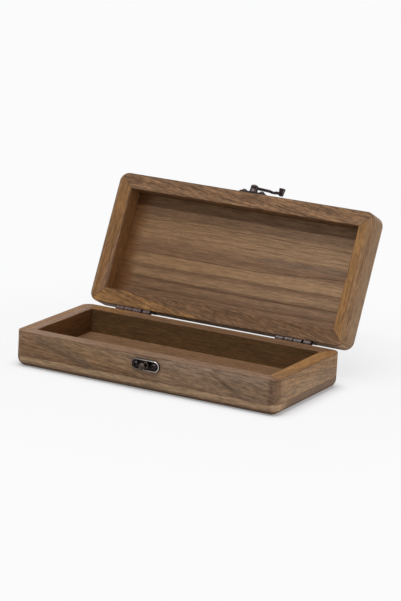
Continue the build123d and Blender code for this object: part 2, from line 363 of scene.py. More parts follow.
def make_panel(name, form):
    """The slab that closes the tray below or the lid above, with the box's rounded outer edge."""
    seam = form["panel"]
    rings = [(fillet_inset(form, seam) + SEAM_GROOVE, seam)]
    rings.append((fillet_inset(form, seam - SEAM_GROOVE), seam - SEAM_GROOVE))
    for height in reversed(fillet_heights(form, 0.0, seam - SEAM_GROOVE)):
        rings.append((fillet_inset(form, height), height))
    rings.append((form["edge_radius"], 0.0))
    points, places, faces = [], [], []
    for inset, height in rings:
        for x, y in panel_ring(inset):
            points.append((x, y, form["outer"] + form["away"] * height))
            places.append((x, y, height))
    count = len(points) // len(rings)
    for ring in range(len(rings) - 1):
        for index in range(count):
            after = (index + 1) % count
            base = ring * count
            faces.append((base + index, base + after, base + count + after, base + count + index))
    faces.append(list(range(count)))
    last = (len(rings) - 1) * count
    faces.append([last + index for index in reversed(range(count))])
    return make_board(name, points, places, faces, form)


# %% Make the ten boards
boards = {}
for body, form in (("tray", TRAY), ("lid", LID)):
    for side in SIDES:
        boards[f"{body}_{side}"] = make_rail(f"walnut_{body}_{side}", side, form)
boards["tray_bottom_panel"] = make_panel("walnut_tray_bottom_panel", TRAY)
boards["lid_top_panel"] = make_panel("walnut_lid_top_panel", LID)
for node, board in boards.items():
    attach(board, node.split("_")[0])
    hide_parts(node)
    print(board.name, len(board.data.polygons), "faces")

# %% [markdown]
# ## Helpers for materials
# A material is a small network. The helpers below add one node and wire its inputs in one go, so the recipe
# of each finish reads from top to bottom like a recipe in a workshop book.


# %% Node helpers
ZERO = (0.0, 0.0, 0.0)


def add_node(tree, kind, inputs=None, **settings):
    """A new node with its settings made and its inputs given a value or a link."""
    made = tree.nodes.new(kind)
    for key, value in settings.items():
        setattr(made, key, value)
    for key, value in (inputs or {}).items():
        if isinstance(value, bpy.types.NodeSocket):
            tree.links.new(value, made.inputs[key])
        else:
            made.inputs[key].default_value = value
    return made


def calc(tree, operation, first, second=0.0, third=0.0, clamp=False):
    """The result of a Math node."""
    inputs = {0: first, 1: second, 2: third}
    return add_node(tree, "ShaderNodeMath", inputs, operation=operation, use_clamp=clamp).outputs[0]


def move(tree, operation, first, second=ZERO):
    """The vector that a Vector Math node gives."""
    return add_node(tree, "ShaderNodeVectorMath", {0: first, 1: second}, operation=operation).outputs[0]


def length_of(tree, vector):
    """The length of a vector."""
    return add_node(tree, "ShaderNodeVectorMath", {0: vector}, operation="LENGTH").outputs["Value"]


def dot(tree, first, second):
    """How far one vector reaches along another, times the other's length."""
    made = add_node(tree, "ShaderNodeVectorMath", {0: first, 1: second}, operation="DOT_PRODUCT")
    return made.outputs["Value"]


def parts_of(tree, vector):
    """The x, y and z of a vector."""
    return add_node(tree, "ShaderNodeSeparateXYZ", {0: vector}).outputs


def thrice(tree, value):
    """A vector with the same number three times."""
    return add_node(tree, "ShaderNodeCombineXYZ", {0: value, 1: value, 2: value}).outputs[0]


def scaled(tree, vector, factor):
    """A vector times a number."""
    inputs = {0: vector, "Scale": factor}
    return add_node(tree, "ShaderNodeVectorMath", inputs, operation="SCALE").outputs[0]


def fade(tree, value, start, end, low=0.0, high=1.0):
    """A smooth change from low to high while value goes from start to end."""
    inputs = {"Value": value, 1: start, 2: end, 3: low, 4: high}
    return add_node(tree, "ShaderNodeMapRange", inputs, interpolation_type="SMOOTHSTEP").outputs[0]


def between(tree, share, first, second):
    """A number part of the way from one to another."""
    return add_node(tree, "ShaderNodeMix", {0: share, 2: first, 3: second}).outputs[0]


def mix(tree, factor, first, second, mode="MIX"):
    """One colour laid over another."""
    inputs = {0: factor, 6: first, 7: second}
    return add_node(tree, "ShaderNodeMix", inputs, data_type="RGBA", blend_type=mode).outputs[2]


def noise(tree, vector, detail=2.0, roughness=0.5):
    """A Noise texture at scale 1, so that the coordinates alone set its size."""
    inputs = {"Vector": vector, "Scale": 1.0, "Detail": detail, "Roughness": roughness}
    return add_node(tree, "ShaderNodeTexNoise", inputs).outputs


def noise_along(tree, value, detail):
    """The same noise along a single number."""
    inputs = {"W": value, "Scale": 1.0, "Detail": detail, "Roughness": 0.5}
    return add_node(tree, "ShaderNodeTexNoise", inputs, noise_dimensions="1D").outputs["Fac"]


def chance(tree, value):
    """A random number from 0 to 1 that is fixed for each value."""
    return add_node(tree, "ShaderNodeTexWhiteNoise", {"W": value}, noise_dimensions="1D").outputs["Value"]


def tone(red, green, blue):
    """A colour of a paint chart, 0 to 255 per channel, in the values that light adds up in."""
    channels = []
    for part in (red, green, blue):
        share = part / 255
        channels.append(share / 12.92 if share <= 0.04045 else ((share + 0.055) / 1.055) ** 2.4)
    return (*channels, 1.0)


def new_group(name, inputs):
    """An empty node group with named inputs (name: default)."""
    tree = bpy.data.node_groups.new(name, "ShaderNodeTree")
    for label, default in inputs.items():
        kind = "NodeSocketVector" if isinstance(default, tuple) else "NodeSocketFloat"
        socket = tree.interface.new_socket(name=label, in_out="INPUT", socket_type=kind)
        socket.default_value = default
    return tree, tree.nodes.new("NodeGroupInput").outputs


def close_group(tree, results):
    """The group with its outputs, one for each named result."""
    for label, value in results.items():
        kind = "NodeSocketVector" if value.type == "VECTOR" else "NodeSocketFloat"
        tree.interface.new_socket(name=label, in_out="OUTPUT", socket_type=kind)
    leave = tree.nodes.new("NodeGroupOutput").inputs
    for label, value in results.items():
        tree.links.new(value, leave[label])
    return tree


def use_group(tree, group, inputs):
    """A group placed in a material, with its inputs set; gives its outputs."""
    return add_node(tree, "ShaderNodeGroup", inputs, node_tree=group).outputs


def new_material(name):
    """A material, its node tree and the shader in it."""
    material = bpy.data.materials.new(name)
    material.use_nodes = True
    return material, material.node_tree, material.node_tree.nodes["Principled BSDF"]


# %% [markdown]
# ## Walnut grain
# A tree grows a ring a year, and a board is a slice through those rings. So the grain is made the same way:
# the distance of each point from the tree's middle gives the ring it lies in, and the ring gives its tone.
# Because this is worked out for the whole solid, the figure on a rail's rim runs on down its face.
# The rings wander a little, so the place on the board is bent by slow noise first.


# %% Group: grain that wanders
def cells(along, across):
    """How quickly a noise changes, from the size of its spots along the grain and across it in mm."""
    return 1 / along, 1 / across, 1 / across


MIDDLE = (0.5, 0.5, 0.5)
ACROSS_ONLY = (0.0, 1.0, 1.0)
SLOW_WAVES = cells(70, 24)
QUICK_WAVES = cells(17, 4.5)
QUICK_SHARE = 0.16


def build_wander():
    """Leans a place by a slope, then bends it sideways by slow and quick waves."""
    inputs = {"Place": ZERO, "Wander": 2.0, "Slope": ZERO, "Seed": 0.0}
    tree, entry = new_group("grain_wander", inputs)
    along = parts_of(tree, entry["Place"])[0]
    shift = thrice(tree, entry["Seed"])
    bent = move(tree, "ADD", entry["Place"], scaled(tree, entry["Slope"], along))
    slow = move(tree, "ADD", move(tree, "MULTIPLY", bent, SLOW_WAVES), shift)
    quick = move(tree, "ADD", move(tree, "MULTIPLY", bent, QUICK_WAVES), shift)
    wide = move(tree, "SUBTRACT", noise(tree, slow, 1.0)["Color"], MIDDLE)
    small = move(tree, "SUBTRACT", noise(tree, quick, 2.0)["Color"], MIDDLE)
    wide = scaled(tree, wide, entry["Wander"])
    small = scaled(tree, small, calc(tree, "MULTIPLY", entry["Wander"], QUICK_SHARE))
    sideways = move(tree, "MULTIPLY", move(tree, "ADD", wide, small), ACROSS_ONLY)
    return close_group(tree, {"Place": move(tree, "ADD", bent, sideways)})


# %% Group: growth rings
# Good years make wide rings and poor ones narrow rings, so the count of rings drifts from a steady one
GOOD_YEARS = 3.0
YEARS_PACE = 0.3
BROAD_BAND = 11
LINE_DRAW = 31.0
TONE_TURNS = (0.2, 0.9)
LATE_SETS_IN = (0.55, 0.93)
LATE_ENDS = (0.95, 1.0)
BROAD_CONTRAST = (0.32, 0.68)


def build_rings():
    """The tone of each ring, the dark line that closes it, and broad bands over many rings."""
    inputs = {"Place": ZERO, "Pith": (0.0, 60.0, -80.0), "Ring Width": 3.0, "Seed": 0.0}
    tree, entry = new_group("growth_rings", inputs)
    seed = entry["Seed"]
    from_pith = move(tree, "SUBTRACT", entry["Place"], entry["Pith"])
    distance = length_of(tree, move(tree, "MULTIPLY", from_pith, ACROSS_ONLY))
    steady = calc(tree, "DIVIDE", distance, entry["Ring Width"])
    warp = noise_along(tree, calc(tree, "MULTIPLY_ADD", steady, YEARS_PACE, seed), 1.0)
    phase = calc(tree, "MULTIPLY_ADD", warp, GOOD_YEARS, steady)
    ring = calc(tree, "FLOOR", phase)
    share = calc(tree, "FRACT", phase)
    drawn = chance(tree, calc(tree, "ADD", ring, seed))
    nearby = chance(tree, calc(tree, "ADD", calc(tree, "ADD", ring, 1.0), seed))
    ends = fade(tree, share, *LATE_ENDS, 1.0, 0.0)
    late = calc(tree, "MULTIPLY", fade(tree, share, *LATE_SETS_IN), ends)
    strength = chance(tree, calc(tree, "ADD", ring, calc(tree, "ADD", seed, LINE_DRAW)))
    broad = noise_along(tree, calc(tree, "MULTIPLY_ADD", distance, 1 / BROAD_BAND, seed), 1.5)
    results = {
        "Tone": between(tree, fade(tree, share, *TONE_TURNS), drawn, nearby),
        "Line": calc(tree, "MULTIPLY", late, calc(tree, "POWER", strength, 1.5)),
        "Broad": fade(tree, broad, *BROAD_CONTRAST),
    }
    return close_group(tree, results)


# %% Group: fibres, pores and flecks
FIBRE_CELLS = cells(16, 0.9)
PORE_CELLS = cells(3.2, 0.24)
PORE_CLOUDS = cells(30, 3.0)
FLECK_CELLS = cells(5, 1.3)
FIBRE_CONTRAST = (0.3, 0.7)
PORE_OPENS = (0.58, 0.68)
CLOUD_CONTRAST = (0.35, 0.62)
FEWEST_PORES = 0.25
FLECK_CONTRAST = (0.35, 0.7)
SEED_STEP = 13.0


def build_fibres():
    """Fine fibres, short dark pores in loose clouds, and soft flecks."""
    tree, entry = new_group("fibres_and_pores", {"Place": ZERO, "Seed": 0.0})
    shift = scaled(tree, thrice(tree, entry["Seed"]), SEED_STEP)
    place = move(tree, "ADD", entry["Place"], shift)
    fibre = noise(tree, move(tree, "MULTIPLY", place, FIBRE_CELLS), 3.0, 0.6)["Fac"]
    dashes = noise(tree, move(tree, "MULTIPLY", place, PORE_CELLS), 1.0)["Fac"]
    clouds = noise(tree, move(tree, "MULTIPLY", place, PORE_CLOUDS), 1.0)["Fac"]
    fleck = noise(tree, move(tree, "MULTIPLY", place, FLECK_CELLS), 2.0, 0.6)["Fac"]
    crowd = fade(tree, clouds, *CLOUD_CONTRAST, FEWEST_PORES, 1.0)
    results = {
        "Fibre": fade(tree, fibre, *FIBRE_CONTRAST),
        "Pores": calc(tree, "MULTIPLY", fade(tree, dashes, *PORE_OPENS), crowd),
        "Fleck": fade(tree, fleck, *FLECK_CONTRAST),
    }
    return close_group(tree, results)


# %% Group: one dark streak, at a listed place
TO_RIGHT = (1.0, 0.0, 0.0)
NARROWEST = 0.1
STREAK_EDGE = (1.25, 0.35)


def build_streak():
    """A streak between two points, thin at its ends. Seen is 1 for the two axes that it is drawn in."""
    inputs = {"Place": ZERO, "Start": ZERO, "End": TO_RIGHT, "Seen": (1.0, 1.0, 0.0), "Half Width": 1.0}
    tree, entry = new_group("grain_streak", inputs)
    place = move(tree, "MULTIPLY", entry["Place"], entry["Seen"])
    start = move(tree, "MULTIPLY", entry["Start"], entry["Seen"])
    end = move(tree, "MULTIPLY", entry["End"], entry["Seen"])
    run = move(tree, "SUBTRACT", end, start)
    along = dot(tree, move(tree, "SUBTRACT", place, start), run)
    share = calc(tree, "DIVIDE", along, dot(tree, run, run), clamp=True)
    nearest = move(tree, "ADD", start, scaled(tree, run, share))
    gap = length_of(tree, move(tree, "SUBTRACT", place, nearest))
    off_middle = calc(tree, "ABSOLUTE", calc(tree, "MULTIPLY_ADD", share, 2.0, -1.0))
    taper = calc(tree, "SUBTRACT", 1.0, calc(tree, "POWER", off_middle, 4.0))
    share_of_width = calc(tree, "MULTIPLY_ADD", taper, 1 - NARROWEST, NARROWEST)
    width = calc(tree, "MULTIPLY", entry["Half Width"], share_of_width)
    return close_group(tree, {"Mask": fade(tree, calc(tree, "DIVIDE", gap, width), *STREAK_EDGE)})


# %% Group: the glue line at a mitre
GLUE_EDGE = (1.0, 0.3)
GLUE_DEPTH = (1.2, 0.4)


def build_glue_line():
    """A thin line where two rails meet at 45 degrees, on the rim only."""
    inputs = {"Place": ZERO, "Inner Half Length": 90.0, "Rim": 25.5, "Half Width": 0.35}
    tree, entry = new_group("glue_line", inputs)
    along, out, height = parts_of(tree, entry["Place"])
    end = calc(tree, "ADD", entry["Inner Half Length"], out)
    short_of = calc(tree, "SUBTRACT", end, calc(tree, "ABSOLUTE", along))
    gap = calc(tree, "MULTIPLY", short_of, math.sqrt(0.5))
    line = fade(tree, calc(tree, "DIVIDE", gap, entry["Half Width"]), *GLUE_EDGE)
    on_rim = fade(tree, calc(tree, "SUBTRACT", entry["Rim"], height), *GLUE_DEPTH)
    return close_group(tree, {"Mask": calc(tree, "MULTIPLY", line, on_rim)})


WANDER = build_wander()
RINGS = build_rings()
FIBRES = build_fibres()
STREAK = build_streak()
GLUE = build_glue_line()
print("grain groups", [group.name for group in (WANDER, RINGS, FIBRES, STREAK, GLUE)])

# %% [markdown]
# ## Bands across a board
# A rail shows three sides at once: its inner wall, its rim and its outer face. To give it one run of bands,
# the three sides are laid out flat, as if the veneer were peeled off: the distance counts from the rim's
# inner edge, up to the rail's thickness across the rim, then on down the outer face. It is negative down
# the inner wall. A panel simply counts across its width.


# %% Group: distance across an unfolded rail
def build_unfold():
    """The distance across a rail whose three sides are laid out flat."""
    inputs = {"Place": ZERO, "Rim": 25.5, "Width": 11.0}
    tree, entry = new_group("unfold_rail", inputs)
    out, height = parts_of(tree, entry["Place"])[1:3]
    below = calc(tree, "SUBTRACT", entry["Rim"], height)
    side = fade(tree, calc(tree, "DIVIDE", out, entry["Width"]), 0.3, 0.7, -1.0, 1.0)
    return close_group(tree, {"Across": calc(tree, "MULTIPLY_ADD", below, side, out)})


# %% Group: a patch of other wood or of painted shade
TO_LEFT = (-1.0, 0.0, 0.0)


def build_patch():
    """A mask that sets in along a direction, from its start to its end."""
    inputs = {"Place": ZERO, "Direction": TO_RIGHT, "Start": 0.0, "End": 1.0}
    tree, entry = new_group("wood_or_shade_patch", inputs)
    distance = dot(tree, entry["Place"], entry["Direction"])
    return close_group(tree, {"Mask": fade(tree, distance, entry["Start"], entry["End"])})


UNFOLD = build_unfold()
PATCH = build_patch()
print("band groups", UNFOLD.name, PATCH.name)

# %% [markdown]
# ## A palette of walnut
# Walnut runs from pale sapwood to chocolate heartwood, with honey and rose where the light catches it.
# Naming a few tones keeps the ten boards in one family: each board then lists which tone lies where.

# %% The palette
PALETTE = {
    "pale": (173, 142, 110),
    "sand": (155, 124, 94),
    "tan": (143, 111, 79),
    "hazel": (131, 100, 72),
    "brown": (121, 91, 65),
    "cocoa": (111, 82, 57),
    "umber": (94, 66, 45),
    "night": (70, 48, 33),
    "honey": (149, 109, 66),
    "amber": (138, 99, 61),
    "russet": (124, 82, 47),
    "rose": (138, 106, 81),
    # Painted shade, laid down a lid rail's inner wall
    "leather": (124, 86, 50),
    "ash": (142, 115, 88),
    "dusk": (113, 92, 75),
    "wheat": (150, 116, 81),
    # Painted shade, laid beside the lid panel's left wall
    "wall_shade": (110, 72, 38),
    # These three are painted shade, laid down the rails' inner walls
    "smoke": (100, 75, 46),
    "wall": (100, 68, 36),
    "deep": (88, 56, 26),
}


def wood(name):
    """A tone of the palette, ready for a node."""
    return tone(*PALETTE[name])


def bands(tree, distance, stops):
    """A colour that changes with a distance in millimetres, through (distance, palette name) stops."""
    low = stops[0][0]
    reach = stops[-1][0] - low
    share = calc(tree, "DIVIDE", calc(tree, "SUBTRACT", distance, low), reach)
    made = add_node(tree, "ShaderNodeValToRGB", {0: share})
    elements = made.color_ramp.elements
    elements[0].color = wood(stops[0][1])
    elements[1].color = wood(stops[-1][1])
    for place, shade in stops[1:-1]:
        elements.new((place - low) / reach).color = wood(shade)
    return made.outputs[0]


def lay(tree, mask, strength, colour, shade):
    """A tone of the palette laid over a colour through a mask."""
    return mix(tree, calc(tree, "MULTIPLY", mask, strength), colour, wood(shade))


def shaded(tree, colour, share, low, high):
    """A colour times a factor that goes from low to high with a share from 0 to 1."""
    factor = calc(tree, "MULTIPLY_ADD", share, high - low, low)
    grey = add_node(tree, "ShaderNodeCombineColor", {0: factor, 1: factor, 2: factor}).outputs[0]
    return mix(tree, 1.0, colour, grey, "MULTIPLY")


print("palette", len(PALETTE), "tones")

# %% [markdown]
# ## One walnut recipe, ten boards
# All boards share one recipe. The bands come first, then patches, some of other wood and some of painted
# shade, and a slow drift along the board, which on the lid's panel is painted sheen. The rings give them a
# figure, dark late wood and placed streaks are drawn over it, and fibres, flecks and pores make it wood from
# close by. Last comes a darker line of painted shade along the outer edge, and the faint glue line at the
# mitres.


# %% The ground: bands, patches and drift
def unfolded(tree, place, look):
    """The distance across a rail, counted over its wall, rim and face."""
    values = {"Place": place, "Rim": look["rim"], "Width": rail_width / MM}
    return use_group(tree, UNFOLD, values)["Across"]


def patch_mask(tree, bent, direction, start, end):
    """Where the wood of a patch has set in."""
    values = {"Place": bent, "Direction": direction, "Start": start, "End": end}
    return use_group(tree, PATCH, values)["Mask"]


def ground(tree, bent, look):
    """The board's bands, with patches of other wood and of painted shade, and a slow drift along it."""
    across = unfolded(tree, bent, look) if "rim" in look else parts_of(tree, bent)[1]
    colour = bands(tree, across, look["bands"])
    for direction, start, end, shade, strength in look.get("patches", ()):
        colour = lay(tree, patch_mask(tree, bent, direction, start, end), strength, colour, shade)
    start, end, drift = look["drift"]
    drifted = mix(tree, 1.0, colour, (*drift, 1.0), "MULTIPLY")
    return mix(tree, patch_mask(tree, bent, TO_RIGHT, start, end), colour, drifted)


# %% The figure: rings and streaks
RING_SHARE = 0.55
BROAD_SHARE = 0.45


def figured(tree, colour, grain, bent, look):
    """Growth rings over the ground, then the listed streaks."""
    values = {"Place": grain, "Pith": look["pith"], "Ring Width": look["ring"], "Seed": look["seed"]}
    rings = use_group(tree, RINGS, values)
    broad = calc(tree, "MULTIPLY", rings["Broad"], BROAD_SHARE)
    figure = calc(tree, "MULTIPLY_ADD", rings["Tone"], RING_SHARE, broad)
    colour = shaded(tree, colour, figure, 1.0 + look["figure"], 1.0 - look["figure"])
    colour = lay(tree, rings["Line"], look["line"], colour, "umber")
    for start, end, seen, half_width, strength, shade in look.get("streaks", ()):
        values = {"Place": bent, "Start": start, "End": end, "Seen": seen, "Half Width": half_width}
        colour = lay(tree, use_group(tree, STREAK, values)["Mask"], strength, colour, shade)
    return colour


# %% The edges: painted shade and glue
GLUE_STRENGTH = 0.5
EDGE_SHADE_SPREAD = (0.25, 0.75)


def edge_shade_and_glue(tree, colour, place, look):
    """A painted shade line along a rail's outer edge, and the glue line at its mitres."""
    off_edge = calc(tree, "SUBTRACT", unfolded(tree, place, look), rail_width / MM)
    edge_shade = fade(tree, calc(tree, "ABSOLUTE", off_edge), *EDGE_SHADE_SPREAD, look["edge"], 0.0)
    colour = mix(tree, edge_shade, colour, wood("night"))
    values = {"Place": place, "Inner Half Length": look["mitre"], "Rim": look["rim"]}
    return lay(tree, use_group(tree, GLUE, values)["Mask"], GLUE_STRENGTH, colour, "night")


# %% The walnut recipe
GRAIN_WANDER = 2.4
GRAIN_DRAW = 5.0
PORE_STRENGTH = 0.45
PORE_DEPTH = 0.06 * MM
OILED_ROUGHNESS = 0.46
OILED_GLOSS = 0.2


def walnut(name, look):
    """A walnut finish for one board. Look holds the board's own bands and figure."""
    material, tree, shader = new_material(name)
    place = add_node(tree, "ShaderNodeAttribute", attribute_name="board_place").outputs["Vector"]
    seed = look["seed"]
    values = {"Place": place, "Wander": look["wander"], "Seed": seed}
    bent = use_group(tree, WANDER, values)["Place"]
    values = {"Place": place, "Wander": GRAIN_WANDER, "Slope": look["slope"], "Seed": seed + GRAIN_DRAW}
    grain = use_group(tree, WANDER, values)["Place"]
    fibres = use_group(tree, FIBRES, {"Place": grain, "Seed": seed})
    colour = figured(tree, ground(tree, bent, look), grain, bent, look)
    for label, swing in (("Fibre", look["fibre"] / 2), ("Fleck", -look["fleck"] / 2)):
        colour = shaded(tree, colour, fibres[label], 1.0 - swing, 1.0 + swing)
    colour = lay(tree, fibres["Pores"], PORE_STRENGTH, colour, "night")
    if "rim" in look:
        colour = edge_shade_and_glue(tree, colour, place, look)
    tree.links.new(colour, shader.inputs["Base Color"])
    rough = calc(tree, "MULTIPLY_ADD", fibres["Fibre"], 0.08, OILED_ROUGHNESS)
    rough = calc(tree, "MULTIPLY_ADD", fibres["Pores"], 0.18, rough)
    tree.links.new(rough, shader.inputs["Roughness"])
    height = calc(tree, "SUBTRACT", calc(tree, "MULTIPLY", fibres["Fibre"], 0.25), fibres["Pores"])
    bump = add_node(tree, "ShaderNodeBump", {"Strength": 0.5, "Distance": PORE_DEPTH, "Height": height})
    tree.links.new(bump.outputs[0], shader.inputs["Normal"])
    shader.inputs["Specular IOR Level"].default_value = OILED_GLOSS
    return material


# %% [markdown]
# ## What lies where on each board
# No two boards of a real box are alike, because each is cut from another part of the plank. Chance alone
# would give ten boards of one kind, so each is written down: its bands across, the patches that set in
# along it, how far its tone drifts, and the streaks that the eye remembers. All places are in millimetres:
# - pith is where the tree's middle lay, ring is the usual width of a ring,
# - drift gives two places along the board, and the tint that the colour has reached at the second,
# - a band is (distance across, tone), and a patch is (direction, start, full, tone, strength),
# - a streak is drawn on the face or on top, from one place to another, with half its width.

# %% What every board shares
BOARD = {
    "pith": (0.0, 70.0, -90.0),
    "ring": 3.0,
    "wander": 1.6,
    "slope": ZERO,
    "drift": (-100.0, 100.0, (1.0, 1.0, 1.0)),
    "figure": 0.1,
    "line": 0.6,
    "fibre": 0.56,
    "fleck": 0.36,
    # edge is how dark the painted shade line along a rail's outer edge is
    "edge": 0.4,
}
LONG_MITRE = (half_length - rail_width) / MM
SHORT_MITRE = (half_depth - rail_width) / MM
TRAY_LONG = dict(BOARD, rim=TRAY["height"] / MM, mitre=LONG_MITRE)
TRAY_SHORT = dict(TRAY_LONG, mitre=SHORT_MITRE)
LID_LONG = dict(BOARD, rim=LID["height"] / MM, mitre=LONG_MITRE)
LID_SHORT = dict(LID_LONG, mitre=SHORT_MITRE)


def on_face(start, end, half_width, strength, shade):
    """A streak on a rail's outer face, between two places given as (along, height)."""
    return (start[0], 0, start[1]), (end[0], 0, end[1]), (1, 0, 1), half_width, strength, shade


def on_top(start, end, half_width, strength, shade):
    """A streak on a rail's rim or on a panel, between two places given as (along, out)."""
    return (*start, 0), (*end, 0), (1, 1, 0), half_width, strength, shade


print("mitres end at", round(LONG_MITRE, 2), "and", round(SHORT_MITRE, 2), "mm")

# %% The look of the tray's boards
# In each rail's bands, the stops below 0 run down its inner wall, and their darker tones there are painted
# shade
LOOKS = {}
LOOKS["tray_front_rail"] = dict(
    TRAY_LONG,
    seed=3.1,
    pith=(0, 40, -60),
    ring=3.4,
    fleck=0.4,
    bands=[
        (-18, "wall"), (-1, "cocoa"), (0, "hazel"), (10.5, "hazel"), (12, "sand"), (20, "tan"),
        (25, "tan"), (27.5, "hazel"), (29, "brown"),
    ],
    drift=(-60.0, 40.0, (1.03, 1.12, 1.36)),
    slope=(0.0, 0.0, 0.08),
    patches=[(TO_LEFT, 60, 95, "rose", 0.4), (TO_RIGHT, 94, 98, "cocoa", 0.9)],
    streaks=[
        on_face((-88, 23), (-40, 10), 5.0, 0.6, "dusk"),
        on_face((-80, 20), (-50, 11), 2.0, 0.45, "cocoa"),
        on_face((-30, 12), (-4, 9.5), 3.0, 0.5, "cocoa"),
        on_face((28, 10), (50, 9), 1.5, 0.4, "cocoa"),
        on_face((51, 22), (78, 9), 1.3, 0.6, "umber"),
        on_face((62, 17), (84, 8.6), 2.6, 0.4, "dusk"),
    ],
)
LOOKS["tray_right_end"] = dict(
    TRAY_SHORT,
    seed=7.7,
    ring=4.0,
    bands=[
        (-18, "wall"), (-1, "russet"), (0, "honey"), (8, "honey"), (11, "amber"), (12, "tan"),
        (17, "tan"), (22, "ash"), (27.3, "ash"), (28.3, "brown"),
    ],
    slope=(0.0, 0.0, 0.1),
    patches=[(TO_LEFT, 5, 30, "hazel", 0.3), (TO_LEFT, 40.5, 44, "cocoa", 0.75)],
    streaks=[
        on_face((-22, 9.0), (4, 12), 2.6, 0.6, "sand"),
        on_face((-10, 12.5), (14, 9), 2.2, 0.35, "sand"),
        on_face((-36, 22), (0, 19), 0.7, 0.35, "honey"),
        on_face((20, 18), (44, 12), 3.0, 0.4, "dusk"),
        on_top((-40, 4.6), (44, 5.4), 0.6, 0.45, "russet"),
        on_top((-46, 9.4), (46, 9.6), 0.6, 0.55, "russet"),
    ],
)
LOOKS["tray_back_rail"] = dict(
    TRAY_LONG,
    seed=5.2,
    bands=[
        (-18, "wall"), (-1, "cocoa"), (5, "cocoa"), (9, "brown"), (11, "amber"), (28, "brown"),
    ],
    # The second patch is painted shade down the inner wall
    patches=[(TO_RIGHT, 55, 72, "amber", 0.9), ((0, -3, -1), -25.4, -24.4, "smoke", 1.0)],
)
LOOKS["tray_left_end"] = dict(
    TRAY_SHORT,
    seed=9.4,
    bands=[
        (-18, "deep"), (-1, "deep"), (0, "rose"), (4.5, "rose"), (6, "amber"), (9.5, "amber"),
        (11, "ash"), (28, "tan"),
    ],
    streaks=[
        on_top((-20, 7.5), (18, 7), 0.8, 0.6, "russet"),
        on_top((-34, 2.6), (8, 3.6), 0.6, 0.5, "brown"),
    ],
)
LOOKS["tray_bottom_panel"] = dict(
    BOARD,
    seed=1.7,
    bands=[
        (-48.5, "pale"), (-42, "pale"), (-30, "brown"), (-10, "hazel"), (15, "brown"), (44, "brown"),
        (48.5, "tan"),
    ],
    patches=[
        ((1, 0.12, 0), 96.8, 100.5, "dusk", 0.85),
        (TO_LEFT, 97, 100.5, "dusk", 1.0),
        # The last patch is painted shade along the bottom edge, where the box meets the table.
        ((0, 0, -1), -4.4, -2.2, "umber", 0.85),
    ],
)
print("tray boards", len(LOOKS))

# %% The look of the lid's boards
LOOKS["lid_front_rail"] = dict(
    LID_LONG,
    seed=2.6,
    fleck=0.6,
    fibre=0.9,
    ring=2.2,
    slope=(0.0, 0.13, 0.0),
    line=0.8,
    bands=[
        (-15, "smoke"), (-1, "brown"), (0, "hazel"), (7, "brown"), (10, "hazel"), (12, "dusk"),
        (25, "hazel"),
    ],
    drift=(-50.0, 20.0, (1.14, 1.13, 1.13)),
)
LOOKS["lid_right_end"] = dict(
    LID_SHORT,
    seed=4.9,
    edge=0.15,
    bands=[
        (-15, "wall"), (-1, "amber"), (0, "amber"), (2, "honey"), (5, "honey"), (7, "tan"),
        (11, "hazel"), (15, "tan"), (25, "ash"),
    ],
    streaks=[
        on_top((-34, 5.4), (44, 5.8), 0.8, 0.55, "russet"),
        on_top((-44, 9.4), (46, 9.6), 0.5, 0.45, "russet"),
    ],
)
LOOKS["lid_back_rail"] = dict(
    LID_LONG,
    seed=6.3,
    line=0.95,
    ring=2.0,
    slope=(0.0, 0.2, 0.0),
    fleck=0.6,
    fibre=0.85,
    edge=0.15,
    bands=[
        (-15, "wall"), (-1, "cocoa"), (4, "cocoa"), (8, "brown"), (11, "brown"), (12, "pale"),
        (25, "sand"),
    ],
    patches=[((1, 6.5, 0), 76, 79, "honey", 0.85)],
    streaks=[on_top((74, 0), (24, 9.5), 0.7, 0.5, "umber")],
)
LOOKS["lid_left_end"] = dict(
    LID_SHORT,
    seed=8.8,
    bands=[
        (-15, "russet"), (-1, "russet"), (0, "brown"), (2, "amber"), (8.5, "amber"), (10.3, "ash"),
        (12, "ash"), (25, "tan"),
    ],
    # The second patch is painted shade down the inner wall
    patches=[((-1, -9, 0), -16, -10, "rose", 0.7), ((0, -3, -1), -19.4, -18.4, "leather", 1.0)],
    streaks=[on_top((-40, 0.8), (22, 6.0), 0.5, 0.6, "umber")],
)
LOOKS["lid_top_panel"] = dict(
    BOARD,
    seed=11.3,
    # The drift is painted sheen: the panel greys and brightens towards its right end.
    drift=(-70.0, 80.0, (1.26, 1.34, 1.5)),
    fleck=0.14,
    wander=1.0,
    # The patch below is painted shade on the inner face of the panel, beside its left wall.
    patches=[((-1, 0, 20), 179, 190, "wall_shade", 0.9)],
    # The first tan stops lie in the shadow that the upper rail casts, and are lighter than the wood beside
    # them: painted light that lifts that shadow.
    bands=[
        (-48, "tan"), (-33, "tan"), (-30.5, "hazel"), (-24, "hazel"), (-22, "tan"), (-9, "tan"),
        (-6, "hazel"), (0, "brown"), (3.2, "brown"), (5.6, "tan"), (8, "wheat"), (12, "tan"),
        (15, "hazel"), (18, "tan"), (21.5, "tan"), (23.4, "cocoa"), (25.6, "hazel"), (29, "brown"),
        (30.5, "cocoa"), (32, "hazel"), (35, "brown"), (48, "brown"),
    ],
    streaks=[
        on_top((14, -4.6), (130, -4.6), 3.2, 0.55, "dusk"),
        on_top((-95, 3.8), (22, 4.7), 0.5, 0.8, "umber"),
        on_top((14, 4.8), (92, 0.0), 0.5, 0.8, "umber"),
        on_top((-95, 21.5), (10, 24.3), 0.6, 0.95, "umber"),
        on_top((0, 24.3), (92, 23.1), 0.6, 0.95, "umber"),
        on_top((-95, 29.8), (-10, 31.5), 0.5, 0.8, "umber"),
        on_top((-20, 31.5), (92, 31.3), 0.45, 0.75, "umber"),
        on_top((-60, 13.8), (-10, 13.8), 0.4, 0.6, "cocoa"),
        on_top((8, 13.8), (60, 13.5), 0.4, 0.6, "cocoa"),
        on_top((-90, -24), (40, -23.5), 0.5, 0.5, "cocoa"),
    ],
)


